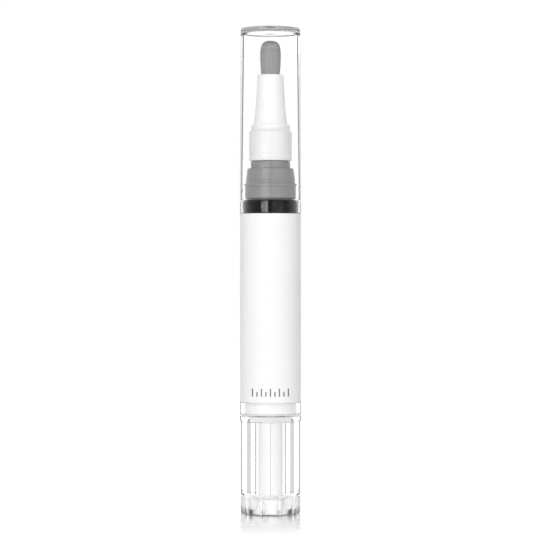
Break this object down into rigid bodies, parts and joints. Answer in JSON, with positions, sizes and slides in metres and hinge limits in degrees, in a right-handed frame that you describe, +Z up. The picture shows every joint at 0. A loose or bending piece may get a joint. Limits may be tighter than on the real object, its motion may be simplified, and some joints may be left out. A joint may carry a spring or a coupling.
{
  "type": "twist-up nail polish pen",
  "caption": "Slim twist-up nail polish pen: clear cap over a brush tip, clear barrel with a white wrap, clear fluted knob that drives a screw and piston.",
  "frame": {"origin": "centre of the knob's flat base, on the surface the pen stands on", "axes": "+Z up along the pen's axis towards the brush and cap; -Y is the front, where one flute is centred"},
  "size_m": [0.0174, 0.0174, 0.1366],
  "materials": {
    "clear_acrylic": "polished clear plastic",
    "white_wrap": "satin printed film",
    "white_plastic": "semi-gloss moulded",
    "grey_plastic": "semi-gloss moulded",
    "black_rubber": "satin elastomer",
    "natural_plastic": "satin moulded",
    "grey_nylon": "nylon filament"
  },
  "bodies": {
    "barrel_unit": {"barrel": "clear_acrylic", "label_sleeve": "white_wrap", "seal_ring": "black_rubber", "neck": "grey_plastic", "applicator": "white_plastic", "bristles": "grey_nylon", "brush_holder": "natural_plastic", "feed_tube": "natural_plastic", "tube_holder": "natural_plastic", "screw_nut": "white_plastic", "ratchet_ring": "white_plastic"},
    "knob_unit": {"knob": "clear_acrylic", "drive_sleeve": "white_plastic", "click_wheel": "natural_plastic"},
    "screw_unit": {"lead_screw": "white_plastic"},
    "piston_unit": {"piston": "natural_plastic"},
    "cap_unit": {"cap": "clear_acrylic"}
  },
  "joints": [
    {"name": "knob_turn", "type": "hinge", "parent": "barrel_unit", "child": "knob_unit", "pos_m": [0, 0, 0.0276], "axis": [0, 0, 1], "range_deg": [0, 4320]},
    {"name": "screw_slide", "type": "slide", "parent": "knob_unit", "child": "screw_unit", "axis": [0, 0, 1], "range_m": [0, 0.0301]},
    {"name": "piston_slide", "type": "slide", "parent": "barrel_unit", "child": "piston_unit", "axis": [0, 0, 1], "range_m": [0, 0.0301]},
    {"name": "cap_slide", "type": "slide", "parent": "barrel_unit", "child": "cap_unit", "axis": [0, 0, 1], "range_m": [0, 0.05]}
  ],
  "couplings": [
    {"joint": "screw_slide", "follows": "knob_turn", "m_per_rad": 0.00039789},
    {"joint": "piston_slide", "follows": "knob_turn", "m_per_rad": 0.00039789}
  ]
}
